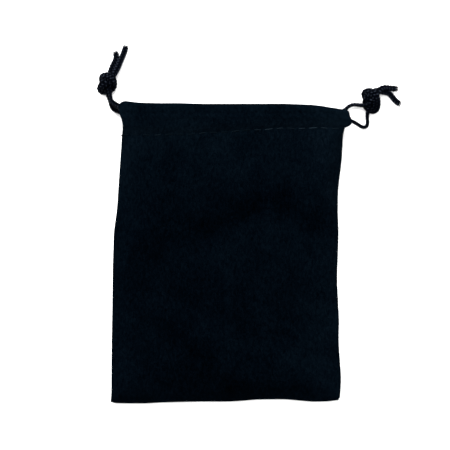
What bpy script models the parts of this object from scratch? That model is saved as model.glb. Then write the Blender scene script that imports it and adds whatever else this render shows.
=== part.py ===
"""Drawstring dice bag lying flat: a soft cloth pouch closed by two cords pulled from opposite sides.

Two cloth panels are sewn together along both sides and the bottom and turned right side out.
The top edge of each panel is hemmed into a casing, a flat tunnel from side to side. Each of the
two drawstrings runs through one casing, turns back at the far side and returns through the other
casing, and its two ends are knotted together outside. The left drawstring is pulled to the left
and the right drawstring to the right, and the cloth gathers between them.

Metres, +Z up. The back panel lies on z = 0, +Y points to the mouth, and the origin is the middle
of the bag at its base.
"""

from math import cos, pi, sin

import bmesh
import bpy
from mathutils import Vector

# ---------------------------------------------------------------- driving dimensions

BAG = "drawstring_dice_bag"
CLOTH = 0.0006  # thickness of one layer of the cloth
CORD_DIAMETER = 0.0018
THREAD_DIAMETER = 0.0005
GAP = 0.0003  # space between pieces that touch
MOUTH_GAP = 0.0043  # how far the casings stand apart at the mouth

# Outline of the bag seen from above, each edge from the bottom corner to the casing.
LEFT_EDGE = [(-0.0530, -0.0670), (-0.0521, -0.0215), (-0.0499, 0.0231), (-0.0477, 0.0590)]
RIGHT_EDGE = [
    (0.0486, -0.0658),
    (0.0479, -0.0400),
    (0.0475, -0.0100),
    (0.0479, 0.0231),
    (0.0500, 0.0520),
]
BOTTOM_EDGE = [
    (-0.0530, -0.0670),
    (-0.0440, -0.0674),
    (-0.0130, -0.0667),
    (0.0120, -0.0658),
    (0.0370, -0.0665),
    (0.0486, -0.0658),
]
TOP_EDGE = [
    (-0.0488, 0.0670),
    (-0.0400, 0.0664),
    (-0.0100, 0.0659),
    (0.0220, 0.0655),
    (0.0400, 0.0650),
    (0.0530, 0.0640),
]

STITCH_LEFT_Y = 0.0522  # the casing's stitch line at the left, and where it has risen to at the right
STITCH_RIGHT_Y = 0.0555
STITCH_RISE_X = -0.032  # where the stitch line starts to rise, and over what length it does
STITCH_RISE_LENGTH = 0.064
STITCH_PITCH = 0.0049
STITCH_SLOT = 0.0011  # width of the line that the stitches pull in, between panel and casing
BACK_THREAD_Z = 0.0009  # middle of each casing's thread, and how far it goes up and down from there
BACK_THREAD_SWING = 0.0004
FRONT_THREAD_SWING = 0.0006
CASING_THREAD_INSET = 0.002

CASING_END_LEFT = -0.0434
CASING_END_RIGHT = 0.0475
HOOD_END_LEFT = -0.0488  # the front casing's cloth reaches over the cords' turns
HOOD_END_RIGHT = 0.0530
HOOD_CUT_LOW_Y = 0.045  # the cuts that open the hoods reach past the casing on every outer side
HOOD_CUT_HIGH_Y = 0.075
HOOD_CUT_OUTWARD = 0.010
HOOD_CUT_BELOW = 0.002

UPPER_STRAND_Y = 0.0624
LOWER_STRAND_Y = 0.0597
TURN_LEFT_X = -0.0437  # where each cord starts to turn back
TURN_RIGHT_X = 0.0479
TURN_REACH = 0.0040
LEFT_LOOP_X = (-0.038, 0.044)  # ends of each loop's straight runs in the casings
RIGHT_LOOP_X = (-0.040, 0.043)
RIGHT_SHIFT_END = 0.75 * pi  # the right loop has changed over to its back strand's line by this angle

SEAM_WIDTH = 0.0057  # width of the seam allowances inside the bag
SEAM_INSET = 0.0018
SEAM_TOP_Y = 0.0495  # where the seam allowances end, just below the casings
SEAM_THREAD_Y = (-0.0640, 0.0490)
SEAM_THREAD_INSET = 0.0035  # how far from the corners the bottom seam's thread starts and ends
BACK_LEFT_TOP_Y = 0.048  # last points of the back panel's sides below the stitch line
BACK_RIGHT_TOP_Y = 0.050
FRONT_INSET = 0.0006  # the front panel's edge lies this far in from the back panel's
PANEL_EDGE_Z = 0.0017  # underside of the front panel along the seams
CROWN_BOTTOM_Z = 0.0068  # underside of the front panel over the filled part of the bag, and at the mouth
CROWN_TOP_Z = 0.0089
CROWN_RISE_Y = -0.040  # where the crown starts to rise towards the mouth, and over what length it does
CROWN_RISE_LENGTH = 0.086
CROWN_SHOULDER = 0.018  # how far in from a seam the front panel reaches its full height
MOUTH_SHOULDER = 0.006
SHOULDER_CHANGE_Y = 0.010  # where the shoulder starts to narrow towards the mouth, and over what length
SHOULDER_CHANGE_LENGTH = 0.036
CROWN_FULLNESS = 0.8

# ---------------------------------------------------------------- derived dimensions

CASING_HEIGHT = CORD_DIAMETER + 2 * CLOTH + 2 * GAP
FRONT_CASING_Z = CASING_HEIGHT + MOUTH_GAP
BACK_STRAND_Z = CASING_HEIGHT / 2
FRONT_STRAND_Z = FRONT_CASING_Z + CASING_HEIGHT / 2
CORD_RADIUS = CORD_DIAMETER / 2
FLOOR_Z = 0.00095  # centre of a cord that lies on the ground
LOOP_SPACING = 2 * CORD_DIAMETER  # between the points of a loop, and of a shorter free length
FREE_SPACING = 1.6 * CORD_DIAMETER
LEFT_PIVOT = Vector((-0.0495, 0.0635, 0.0))
RIGHT_PIVOT = Vector((0.0520, 0.0615, 0.0))

# ---------------------------------------------------------------- routes of the cords, outside the casings

LEFT_FRONT_LEAD = [(-0.0494, 0.0645, 0.0080), (-0.0482, 0.0638, 0.0092), (-0.0465, 0.0631, 0.0096)]
LEFT_BACK_LEAD = [(-0.0465, 0.0606, 0.0018), (-0.0486, 0.0621, 0.0017), (-0.0496, 0.0625, 0.0016)]
LEFT_FRONT_END = [
    (-0.0496, 0.0646, 0.0077),
    (-0.0507, 0.0652, 0.0062),
    (-0.0521, 0.0663, 0.0046),
    (-0.0530, 0.0676, 0.0036),
    (-0.0534, 0.0688, 0.0033),
    (-0.0536, 0.0698, 0.0034),
]
LEFT_BACK_END = [
    (-0.0499, 0.0626, 0.0015),
    (-0.0514, 0.0632, 0.0012),
    (-0.0524, 0.0645, 0.0010),
    (-0.0531, 0.0662, FLOOR_Z),
    (-0.0536, 0.0677, FLOOR_Z),
    (-0.0542, 0.0701, 0.0011),
]
LEFT_TAIL_SHORT = [
    (-0.0533, 0.0804, 0.0024),
    (-0.0526, 0.0820, 0.0012),
    (-0.0513, 0.0843, FLOOR_Z),
    (-0.0505, 0.0866, FLOOR_Z),
    (-0.0509, 0.0886, FLOOR_Z),
]
LEFT_TAIL_LONG = [
    (-0.0515, 0.0793, 0.0024),
    (-0.0503, 0.0807, 0.0022),
    (-0.0495, 0.0827, 0.0016),
    (-0.0489, 0.0845, 0.0012),
    (-0.0481, 0.0863, FLOOR_Z),
    (-0.0474, 0.0881, FLOOR_Z),
    (-0.0467, 0.0902, FLOOR_Z),
    (-0.0464, 0.0912, FLOOR_Z),
]

RIGHT_FRONT_LEAD = [(0.0531, 0.0582, 0.0078), (0.0515, 0.0588, 0.0090), (0.0495, 0.0591, 0.0096)]
RIGHT_BACK_LEAD = [(0.0475, 0.0621, 0.0018), (0.0498, 0.0624, 0.0018), (0.0510, 0.0631, 0.0018)]
RIGHT_FRONT_END = [
    (0.0533, 0.0581, 0.0075),
    (0.0552, 0.0574, 0.0050),
    (0.0571, 0.0564, 0.0026),
    (0.0589, 0.0554, 0.0013),
    (0.0603, 0.0553, FLOOR_Z),
    (0.0613, 0.0566, FLOOR_Z),
    (0.0611, 0.0589, FLOOR_Z),
    (0.0610, 0.0611, 0.0012),
    (0.0611, 0.0620, 0.0014),
]
RIGHT_BACK_END = [
    (0.0513, 0.0633, 0.0018),
    (0.0530, 0.0648, 0.0017),
    (0.0545, 0.0654, 0.0015),
    (0.0565, 0.0654, 0.0013),
    (0.0588, 0.0652, 0.0014),
]
RIGHT_TAIL_UPPER = [
    (0.0660, 0.0722, 0.0028),
    (0.0675, 0.0728, 0.0022),
    (0.0693, 0.0730, 0.0015),
    (0.0718, 0.0727, 0.0011),
    (0.0741, 0.0726, FLOOR_Z),
]
RIGHT_TAIL_LOWER = [
    (0.0666, 0.0702, 0.0018),
    (0.0679, 0.0709, 0.0011),
    (0.0695, 0.0711, FLOOR_Z),
    (0.0710, 0.0704, FLOOR_Z),
    (0.0726, 0.0685, FLOOR_Z),
    (0.0738, 0.0671, FLOOR_Z),
    (0.0754, 0.0659, FLOOR_Z),
]

LEFT_KNOT_CENTRE = (-0.0548, 0.0752, 0.0033)
LEFT_KNOT_SIZE = (0.0086, 0.0104, 0.0066)
RIGHT_KNOT_CENTRE = (0.0628, 0.0675, 0.0033)
RIGHT_KNOT_SIZE = (0.0084, 0.0116, 0.0066)

# ---------------------------------------------------------------- colours

CLOTH_COLOUR = (0.0012, 0.0026, 0.0050, 1.0)
HEM_COLOUR = (0.0018, 0.0034, 0.0060, 1.0)
CORD_COLOUR = (0.0040, 0.0060, 0.0090, 1.0)
THREAD_COLOUR = (0.0060, 0.0080, 0.0110, 1.0)
CLOTH_ROUGHNESS = 0.95
CORD_ROUGHNESS = 0.7
THREAD_ROUGHNESS = 0.6


# ---------------------------------------------------------------- scene and material helpers


def clear_scene():
    for item in list(bpy.data.objects):
        bpy.data.objects.remove(item, do_unlink=True)


def new_collection(name):
    collection = bpy.data.collections.new(name)
    bpy.context.scene.collection.children.link(collection)
    return collection


def principled(name, colour, roughness):
    material = bpy.data.materials.new(name)
    material.use_nodes = True
    shader = material.node_tree.nodes["Principled BSDF"]
    shader.inputs["Base Color"].default_value = colour
    shader.inputs["Roughness"].default_value = roughness
    shader.inputs["Metallic"].default_value = 0.0
    return material


def place(item, collection, colour, roughness, parent=None):
    """Link a new object, give it its own material and hang it on its joint's empty."""
    for used in list(item.users_collection):
        used.objects.unlink(item)
    collection.objects.link(item)
    item.data.materials.clear()
    item.data.materials.append(principled(item.name + "_material", colour, roughness))
    if parent is not None:
        item.parent = parent
        item.location = item.location - parent.location
    return item


def pivot(name, location, collection):
    empty = bpy.data.objects.new(name, None)
    empty.empty_display_size = 0.005
    empty.location = location
    collection.objects.link(empty)
    return empty


# ---------------------------------------------------------------- outline


def smooth(t):
    t = min(max(t, 0.0), 1.0)
    return t * t * (3 - 2 * t)


def catmull_rom(a, b, c, d, t):
    return 0.5 * (2 * b + (c - a) * t + (2 * a - 5 * b + 4 * c - d) * t**2 + (3 * b - a - 3 * c + d) * t**3)


def value_at(points, key):
    """Read a smooth curve through (key, value) points that rise in key."""
    last = len(points) - 1
    i = max(0, min(last - 1, sum(1 for p in points if p[0] <= key) - 1))
    t = (key - points[i][0]) / (points[i + 1][0] - points[i][0])
    t = min(max(t, 0.0), 1.0)
    values = [points[max(0, min(last, i + k))][1] for k in (-1, 0, 1, 2)]
    return catmull_rom(*values, t)


def left_x(y):
    return value_at([(p[1], p[0]) for p in LEFT_EDGE], y)


def right_x(y):
    return value_at([(p[1], p[0]) for p in RIGHT_EDGE], y)


def bottom_y(x):
    return value_at(BOTTOM_EDGE, x)


def top_y(x):
    return value_at(TOP_EDGE, x)


def stitch_y(x):
    return STITCH_LEFT_Y + (STITCH_RIGHT_Y - STITCH_LEFT_Y) * smooth((x - STITCH_RISE_X) / STITCH_RISE_LENGTH)


def side_point(side, y, inset):
    """A point of the left or right seam, moved in towards the middle of the bag."""
    return (left_x(y) + inset, y) if side == "left" else (right_x(y) - inset, y)


def spread(start, end, count):
    return [start + (end - start) * i / (count - 1) for i in range(count)]


# ---------------------------------------------------------------- solids


def flat_piece(name, outline, z_low, z_high):
    """A flat layer of cloth cut to an outline."""
    curve = bpy.data.curves.new(name, "CURVE")
    curve.dimensions = "2D"
    curve.fill_mode = "BOTH"
    curve.extrude = (z_high - z_low) / 2
    spline = curve.splines.new("POLY")
    spline.points.add(len(outline) - 1)
    spline.use_cyclic_u = True
    for point, (x, y) in zip(spline.points, outline):
        point.co = (x, y, 0.0, 1.0)
    item = bpy.data.objects.new(name, curve)
    item.location = (0.0, 0.0, (z_low + z_high) / 2)
    return item


def tube(name, points, diameter, resolution=2):
    """A round cord or thread along the points."""
    curve = bpy.data.curves.new(name, "CURVE")
    curve.dimensions = "3D"
    curve.bevel_depth = diameter / 2
    curve.bevel_resolution = resolution
    curve.use_fill_caps = True
    spline = curve.splines.new("POLY")
    spline.points.add(len(points) - 1)
    for point, place_at in zip(spline.points, points):
        point.co = (*place_at, 1.0)
    return bpy.data.objects.new(name, curve)


def surface(name, rows, closed, thickness, offset):
    """Sheet of quads through rows of points, thickened. Closed rows make a tunnel."""
    mesh = bpy.data.meshes.new(name)
    shape = bmesh.new()
    grid = [[shape.verts.new(point) for point in row] for row in rows]
    count = len(rows[0])
    for row, following in zip(grid, grid[1:]):
        for k in range(count if closed else count - 1):
            after = (k + 1) % count
            shape.faces.new((row[k], row[after], following[after], following[k]))
    shape.to_mesh(mesh)
    shape.free()
    mesh.shade_smooth()
    item = bpy.data.objects.new(name, mesh)
    layer = item.modifiers.new("cloth thickness", "SOLIDIFY")
    layer.thickness = thickness
    layer.offset = offset
    layer.use_even_offset = True
    return item


def cut_box(target, low, high, collection):
    """Cut the box between two corners out of the target."""
    bpy.ops.mesh.primitive_cube_add(size=1.0)
    cutter = bpy.context.object
    cutter.name = target.name + "_cutter"
    for used in list(cutter.users_collection):
        used.objects.unlink(cutter)
    collection.objects.link(cutter)
    cutter.location = (Vector(low) + Vector(high)) / 2
    cutter.scale = Vector(high) - Vector(low)
    cutter.hide_render = True
    cutter.display_type = "WIRE"
    cut = target.modifiers.new("hood", "BOOLEAN")
    cut.operation = "DIFFERENCE"
    cut.object = cutter


# ---------------------------------------------------------------- panels


def back_panel():
    top = STITCH_SLOT / 2
    xs = spread(left_x(STITCH_LEFT_Y), right_x(STITCH_RIGHT_Y), 13)
    left = [side_point("left", y, 0.0) for y in spread(LEFT_EDGE[0][1], BACK_LEFT_TOP_Y, 8)]
    right = [side_point("right", y, 0.0) for y in spread(RIGHT_EDGE[0][1], BACK_RIGHT_TOP_Y, 8)]
    upper = [(x, stitch_y(x) - top) for x in xs]
    lower = [(x, bottom_y(x)) for x in spread(LEFT_EDGE[0][0], RIGHT_EDGE[0][0], 13)]
    return flat_piece("back_panel", right + upper[::-1] + left[::-1] + lower[1:-1], 0.0, CLOTH)


def front_height(x, y):
    """Underside of the front panel: low along the seams, crowned over the pocket, open at the mouth."""
    narrowing = smooth((y - SHOULDER_CHANGE_Y) / SHOULDER_CHANGE_LENGTH)
    shoulder = CROWN_SHOULDER + (MOUTH_SHOULDER - CROWN_SHOULDER) * narrowing
    rising = smooth((y - CROWN_RISE_Y) / CROWN_RISE_LENGTH)
    crown = CROWN_BOTTOM_Z + (CROWN_TOP_Z - CROWN_BOTTOM_Z) * rising
    from_side = min(x - left_x(y), right_x(y) - x) / shoulder
    from_bottom = (y - bottom_y(x)) / CROWN_SHOULDER
    inward = min(max(min(from_side, from_bottom), 0.0), 1.0)
    return PANEL_EDGE_Z + (crown - PANEL_EDGE_Z) * sin(inward * pi / 2) ** CROWN_FULLNESS


def front_panel():
    """Grid from the bottom seam to the casing, with closer lines near the seams."""
    columns = 17
    rows = 17
    grid = []
    for j in range(rows):
        v = 1 - cos(pi / 2 * j / (rows - 1))
        row = []
        for i in range(columns):
            u = 0.5 - 0.5 * cos(pi * i / (columns - 1))
            x = LEFT_EDGE[0][0] + (RIGHT_EDGE[0][0] - LEFT_EDGE[0][0]) * u
            for _ in range(3):
                low = bottom_y(x) + FRONT_INSET
                y = low + (stitch_y(x) - STITCH_SLOT / 2 - low) * v
                x = left_x(y) + FRONT_INSET + (right_x(y) - left_x(y) - 2 * FRONT_INSET) * u
            row.append((x, y, front_height(x, y) if 0 < i < columns - 1 and j else PANEL_EDGE_Z))
        grid.append(row)
    return surface("front_panel", grid, False, CLOTH, 1.0)


def seam_allowance(side):
    """Both panels' spare edge, pressed flat inside the bag along a side seam."""
    corner = LEFT_EDGE[0] if side == "left" else RIGHT_EDGE[0]
    ys = spread(corner[1] + SEAM_INSET + SEAM_WIDTH + 2 * GAP, SEAM_TOP_Y, 8)
    outer = [side_point(side, y, SEAM_INSET) for y in ys]
    inner = [side_point(side, y, SEAM_INSET + SEAM_WIDTH) for y in ys]
    return flat_piece(side + "_seam_allowance", outer + inner[::-1], CLOTH + GAP, 3 * CLOTH + GAP)


def bottom_seam_allowance():
    low = LEFT_EDGE[0][0] + SEAM_INSET + 2 * GAP
    high = RIGHT_EDGE[0][0] - SEAM_INSET - 2 * GAP
    xs = spread(low, high, 6)
    outer = [(x, bottom_y(x) + SEAM_INSET) for x in xs]
    inner = [(x, bottom_y(x) + SEAM_INSET + SEAM_WIDTH) for x in xs]
    return flat_piece("bottom_seam_allowance", outer + inner[::-1], CLOTH + GAP, 3 * CLOTH + GAP)


# ---------------------------------------------------------------- casings


def casing_ring(x, z_low):
    """Cross-section of a casing: a flat loop of cloth with round folds above and below."""
    radius = CASING_HEIGHT / 2
    middle = z_low + radius
    top = top_y(x) - radius
    base = stitch_y(x) + STITCH_SLOT / 2 + radius
    turns = [pi * (k / 6 - 0.5) for k in range(7)]
    upper = [(x, top + radius * cos(a), middle + radius * sin(a)) for a in turns]
    lower = [(x, base - radius * cos(a), middle - radius * sin(a)) for a in turns]
    return upper + lower


def casing(name, x_start, x_end, z_low):
    rings = [casing_ring(x, z_low) for x in spread(x_start, x_end, 14)]
    return surface(name, rings, True, CLOTH, -1.0)


def front_casing(cutters):
    """The front casing, with the inner half of each end open where a cord turns back."""
    item = casing("front_casing", HOOD_END_LEFT, HOOD_END_RIGHT, FRONT_CASING_Z)
    floor = FRONT_CASING_Z - HOOD_CUT_BELOW
    roof = FRONT_STRAND_Z + GAP
    outer_left = HOOD_END_LEFT - HOOD_CUT_OUTWARD
    outer_right = HOOD_END_RIGHT + HOOD_CUT_OUTWARD
    cut_box(item, (outer_left, HOOD_CUT_LOW_Y, floor), (CASING_END_LEFT, HOOD_CUT_HIGH_Y, roof), cutters)
    cut_box(item, (CASING_END_RIGHT, HOOD_CUT_LOW_Y, floor), (outer_right, HOOD_CUT_HIGH_Y, roof), cutters)
    return item


# ---------------------------------------------------------------- threads


def casing_thread(name, z, swing):
    """Running stitch that closes a casing: over and under the cloth, one turn a stitch."""
    start = CASING_END_LEFT + CASING_THREAD_INSET
    length = CASING_END_RIGHT - CASING_THREAD_INSET - start
    turns = int(length / STITCH_PITCH)
    xs = [start + STITCH_PITCH * k / 4 for k in range(4 * turns + 1)]
    points = [(x, stitch_y(x), z + swing * sin(pi / 2 * k)) for k, x in enumerate(xs)]
    return tube(name, points, THREAD_DIAMETER, 1)


def seam_thread(side):
    z = CLOTH + GAP + THREAD_DIAMETER / 2
    points = [(*side_point(side, y, SEAM_INSET / 2), z) for y in spread(*SEAM_THREAD_Y, 14)]
    return tube(side + "_seam_thread", points, THREAD_DIAMETER, 1)


def bottom_seam_thread():
    z = CLOTH + GAP + THREAD_DIAMETER / 2
    xs = spread(LEFT_EDGE[0][0] + SEAM_THREAD_INSET, RIGHT_EDGE[0][0] - SEAM_THREAD_INSET, 10)
    points = [(x, bottom_y(x) + SEAM_INSET / 2, z) for x in xs]
    return tube("bottom_seam_thread", points, THREAD_DIAMETER, 1)


# ---------------------------------------------------------------- drawstrings


def smooth_route(points, spacing):
    """Points a given spacing apart on a smooth curve through the route's own points."""
    route = [Vector(point) for point in points]
    last = len(route) - 1
    fine = []
    for i in range(last):
        a, b, c, d = (route[max(0, min(last, i + k))] for k in (-1, 0, 1, 2))
        fine += [catmull_rom(a, b, c, d, t / 12) for t in range(12)]
    fine.append(route[last])
    total = sum((q - p).length for p, q in zip(fine, fine[1:]))
    count = max(2, round(total / spacing))
    step = total / count
    sampled = [fine[0]]
    travelled = 0.0
    for p, q in zip(fine, fine[1:]):
        piece = (q - p).length
        while len(sampled) < count and travelled + piece >= step * len(sampled):
            sampled.append(p.lerp(q, (step * len(sampled) - travelled) / piece))
        travelled += piece
    return sampled + [fine[-1]]


def turn_back(turn_x, direction, front_y, back_y, shift_end):
    """Half circle from the front casing down to the back casing at the far side of the bag."""
    middle = (FRONT_STRAND_Z + BACK_STRAND_Z) / 2
    rise = (FRONT_STRAND_Z - BACK_STRAND_Z) / 2
    points = []
    for k in range(7):
        angle = pi * k / 6
        y = front_y + (back_y - front_y) * smooth(angle / shift_end)
        points.append((turn_x + direction * TURN_REACH * sin(angle), y, middle + rise * cos(angle)))
    return points


def straight(x_start, x_end, y, z):
    return [(x, y, z) for x in spread(x_start, x_end, 5)]


def left_cord_loop():
    near, far = LEFT_LOOP_X
    front = LEFT_FRONT_LEAD + straight(near, far, UPPER_STRAND_Y, FRONT_STRAND_Z)
    turn = turn_back(TURN_RIGHT_X, 1, UPPER_STRAND_Y, LOWER_STRAND_Y, pi)
    back = straight(far, near, LOWER_STRAND_Y, BACK_STRAND_Z) + LEFT_BACK_LEAD
    return tube("left_cord_loop", smooth_route(front + turn + back, LOOP_SPACING), CORD_DIAMETER)


def right_cord_loop():
    far, near = RIGHT_LOOP_X
    front = RIGHT_FRONT_LEAD + straight(near, far, LOWER_STRAND_Y, FRONT_STRAND_Z)
    turn = turn_back(TURN_LEFT_X, -1, LOWER_STRAND_Y, UPPER_STRAND_Y, RIGHT_SHIFT_END)
    back = straight(far, near, UPPER_STRAND_Y, BACK_STRAND_Z) + RIGHT_BACK_LEAD
    return tube("right_cord_loop", smooth_route(front + turn + back, LOOP_SPACING), CORD_DIAMETER)


def free_cord(name, route):
    return tube(name, smooth_route(route, FREE_SPACING), CORD_DIAMETER)


def knot(name, centre, size):
    """Overhand knot in the doubled cord, as its outer shape."""
    mesh = bpy.data.meshes.new(name)
    shape = bmesh.new()
    bmesh.ops.create_uvsphere(shape, u_segments=16, v_segments=10, radius=0.5)
    bmesh.ops.scale(shape, vec=Vector(size), verts=shape.verts)
    shape.to_mesh(mesh)
    shape.free()
    mesh.shade_smooth()
    item = bpy.data.objects.new(name, mesh)
    item.location = centre
    return item


# ---------------------------------------------------------------- assembly


def build_bag(parts, cutters):
    cloth = [back_panel(), front_panel()]
    hems = [casing("back_casing", CASING_END_LEFT, CASING_END_RIGHT, 0.0), front_casing(cutters)]
    hems += [seam_allowance("left"), seam_allowance("right"), bottom_seam_allowance()]
    threads = [casing_thread("back_casing_thread", BACK_THREAD_Z, BACK_THREAD_SWING)]
    threads += [casing_thread("front_casing_thread", FRONT_STRAND_Z - GAP, FRONT_THREAD_SWING)]
    threads += [seam_thread("left"), seam_thread("right"), bottom_seam_thread()]
    for item in cloth:
        place(item, parts, CLOTH_COLOUR, CLOTH_ROUGHNESS)
    for item in hems:
        place(item, parts, HEM_COLOUR, CLOTH_ROUGHNESS)
    for item in threads:
        place(item, parts, THREAD_COLOUR, THREAD_ROUGHNESS)


def build_left_drawstring(parts):
    slide = pivot("left_cord_pull", LEFT_PIVOT, parts)
    place(left_cord_loop(), parts, CORD_COLOUR, CORD_ROUGHNESS, slide)
    swing = pivot("left_knot_swing", LEFT_PIVOT, parts)
    pieces = [
        free_cord("left_cord_front_end", LEFT_FRONT_END),
        free_cord("left_cord_back_end", LEFT_BACK_END),
        knot("left_knot", LEFT_KNOT_CENTRE, LEFT_KNOT_SIZE),
        free_cord("left_tail_short", LEFT_TAIL_SHORT),
        free_cord("left_tail_long", LEFT_TAIL_LONG),
    ]
    for item in pieces:
        place(item, parts, CORD_COLOUR, CORD_ROUGHNESS, swing)


def build_right_drawstring(parts):
    slide = pivot("right_cord_pull", RIGHT_PIVOT, parts)
    place(right_cord_loop(), parts, CORD_COLOUR, CORD_ROUGHNESS, slide)
    swing = pivot("right_knot_swing", RIGHT_PIVOT, parts)
    pieces = [
        free_cord("right_cord_front_end", RIGHT_FRONT_END),
        free_cord("right_cord_back_end", RIGHT_BACK_END),
        knot("right_knot", RIGHT_KNOT_CENTRE, RIGHT_KNOT_SIZE),
        free_cord("right_tail_upper", RIGHT_TAIL_UPPER),
        free_cord("right_tail_lower", RIGHT_TAIL_LOWER),
    ]
    for item in pieces:
        place(item, parts, CORD_COLOUR, CORD_ROUGHNESS, swing)


def main():
    clear_scene()
    parts = new_collection(BAG)
    cutters = new_collection("cutters")
    build_bag(parts, cutters)
    build_left_drawstring(parts)
    build_right_drawstring(parts)


main()
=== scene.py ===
"""Drawstring dice bag lying flat, seen from straight above: suede-like cloth, braided cords, stitches."""

from math import cos, exp, pi, sin

import bpy
import numpy as np
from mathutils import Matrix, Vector, noise


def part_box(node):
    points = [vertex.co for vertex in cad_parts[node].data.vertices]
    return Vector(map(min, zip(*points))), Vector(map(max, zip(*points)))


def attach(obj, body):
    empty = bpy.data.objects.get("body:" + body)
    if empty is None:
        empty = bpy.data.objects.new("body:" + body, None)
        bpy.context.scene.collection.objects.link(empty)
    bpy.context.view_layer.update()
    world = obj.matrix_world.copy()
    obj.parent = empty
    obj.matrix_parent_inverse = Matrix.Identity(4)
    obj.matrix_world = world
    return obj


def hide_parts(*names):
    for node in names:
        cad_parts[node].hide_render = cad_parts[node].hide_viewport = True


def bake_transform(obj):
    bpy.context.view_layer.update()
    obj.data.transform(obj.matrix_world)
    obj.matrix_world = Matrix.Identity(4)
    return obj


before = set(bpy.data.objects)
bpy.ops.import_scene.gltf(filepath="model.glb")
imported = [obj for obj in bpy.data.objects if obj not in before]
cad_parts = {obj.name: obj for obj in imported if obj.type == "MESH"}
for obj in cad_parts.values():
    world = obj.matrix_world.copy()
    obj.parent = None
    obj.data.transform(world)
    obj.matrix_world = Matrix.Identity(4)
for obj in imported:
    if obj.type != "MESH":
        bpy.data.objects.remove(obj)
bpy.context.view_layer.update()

# ---------------------------------------------------------------- dimensions, in metres

MM = 0.001
CLOTH = 0.6 * MM
THREAD_RADIUS = 0.15 * MM

_, FRONT_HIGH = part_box("front_casing")
BACK_LOW, BACK_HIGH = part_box("back_casing")
CASING_HEIGHT = BACK_HIGH[2] - BACK_LOW[2]
FRONT_STRAND_Z = FRONT_HIGH[2] - CASING_HEIGHT / 2
BACK_STRAND_Z = CASING_HEIGHT / 2

# The bag's outline seen from above, in millimetres: (y, x) along its sides, (x, y) along its ends.
LEFT_EDGE = [
    (-67.4, -53.0),
    (-62.7, -52.7),
    (-45.0, -52.6),
    (-27.0, -52.3),
    (-9.0, -52.1),
    (2.0, -51.8),
    (9.0, -51.5),
    (17.5, -50.4),
    (23.0, -49.9),
    (34.0, -49.2),
    (44.0, -48.5),
    (50.0, -47.9),
    (55.0, -47.3),
    (58.5, -47.7),
    (61.0, -48.6),
    (63.5, -48.8),
    (67.0, -48.5),
]
SHARED_RIGHT_EDGE = [
    (-66.1, 48.1),
    (-64.5, 48.9),
    (-56.5, 49.3),
    (-51.0, 49.0),
    (-40.0, 48.3),
    (-30.0, 48.4),
    (-22.0, 48.0),
    (-12.0, 47.6),
    (-2.0, 47.9),
    (9.0, 48.2),
    (18.0, 47.9),
    (29.0, 48.2),
    (40.0, 49.5),
    (46.0, 49.9),
    (50.0, 49.9),
    (52.7, 50.1),
    (54.0, 50.4),
]
BACK_RIGHT_EDGE = SHARED_RIGHT_EDGE + [
    (57.5, 50.6),
    (60.0, 49.6),
    (64.2, 48.6),
]
RIGHT_EDGE = SHARED_RIGHT_EDGE + [
    (54.9, 50.8),
    (55.5, 52.3),
    (56.3, 53.4),
    (57.4, 53.8),
    (58.6, 53.6),
    (60.0, 52.9),
    (61.6, 52.6),
    (63.2, 52.5),
    (64.5, 52.3),
]
NAP_STANDS = 0.12 * MM  # the nap reaches this far past the cloth at the bag's edges
BOTTOM_EDGE = [
    (-53.0, -66.8),
    (-50.5, -67.3),
    (-38.0, -67.4),
    (-31.0, -67.0),
    (-13.0, -66.6),
    (-1.0, -66.6),
    (6.0, -66.2),
    (12.0, -65.7),
    (24.0, -65.6),
    (30.5, -66.1),
    (37.0, -66.6),
    (43.0, -66.5),
    (49.0, -65.9),
]
TOP_EDGE = [
    (-49.0, 66.7),
    (-43.0, 66.1),
    (-34.0, 65.8),
    (-24.0, 65.8),
    (-13.0, 65.5),
    (12.0, 65.5),
    (24.0, 65.5),
    (35.0, 65.2),
    (40.5, 64.8),
    (45.7, 64.0),
    (53.0, 63.0),
]

# The line of stitches that closes the casing rises to the right.
STITCH_LEFT_Y = 51.8 * MM
STITCH_RISE = 2.9 * MM
STITCH_RISES = (-32 * MM, 32 * MM)
STITCH_PITCH = 4.9 * MM

# The front cloth rises from the seams over a shoulder to its crown. Each pair of places says where along
# y, in metres, one value passes into the next.
SEAM_Z = 1.1 * MM  # where front and back meet along the sewn edges
CROWN_BOTTOM_Z = 7.2 * MM
CROWN_TOP_Z = 9.8 * MM
CROWN_RISES = (-40 * MM, 46 * MM)
EDGE_RISES = (44 * MM, 55 * MM)
SHOULDER = 17 * MM
MOUTH_SHOULDER = 6 * MM
SHOULDER_NARROWS = (8 * MM, 46 * MM)
SHOULDER_ROUNDNESS = 0.62  # less than 1 makes the rise steeper at the seam
WAVE_HEIGHT = 0.55 * MM
BROAD_WAVE = (34 * MM, 46 * MM)  # size along x and y
FINE_WAVE = (13 * MM, 17 * MM)
PUCKER_DEPTH = 0.40 * MM
PUCKER_WIDTH = 1.3 * MM

# The front casing stands up over the strands in it.
CASING_FLAT_Z = FRONT_HIGH[2] - 0.45 * MM
CASING_RISE_LENGTH = 3.9 * MM
CASING_WAVE_HEIGHT = 0.12 * MM
RIDGE_HEIGHT = 0.35 * MM
RIDGE_WIDTH = 1.15 * MM
UPPER_STRAND_Y = 62.4 * MM
LOWER_STRAND_Y = 59.7 * MM
LEFT_BEND = (-43 * MM, -49 * MM)  # where the upper strand turns up to leave the casing
LEFT_BEND_RISE = 2.3 * MM
RIGHT_BEND = (47 * MM, 53 * MM)  # where the lower strand turns down to leave it
RIGHT_BEND_DROP = 1.0 * MM

# The back cloth lies on the ground, and its edges turn up to the seams.
BACK_ROUND_OFF = 1.6 * MM
BACK_EDGE_FALLS = (40 * MM, 48 * MM)
BACK_PUCKER_DEPTH = 0.25 * MM
BACK_PUCKER_WIDTH = 1.1 * MM

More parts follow.
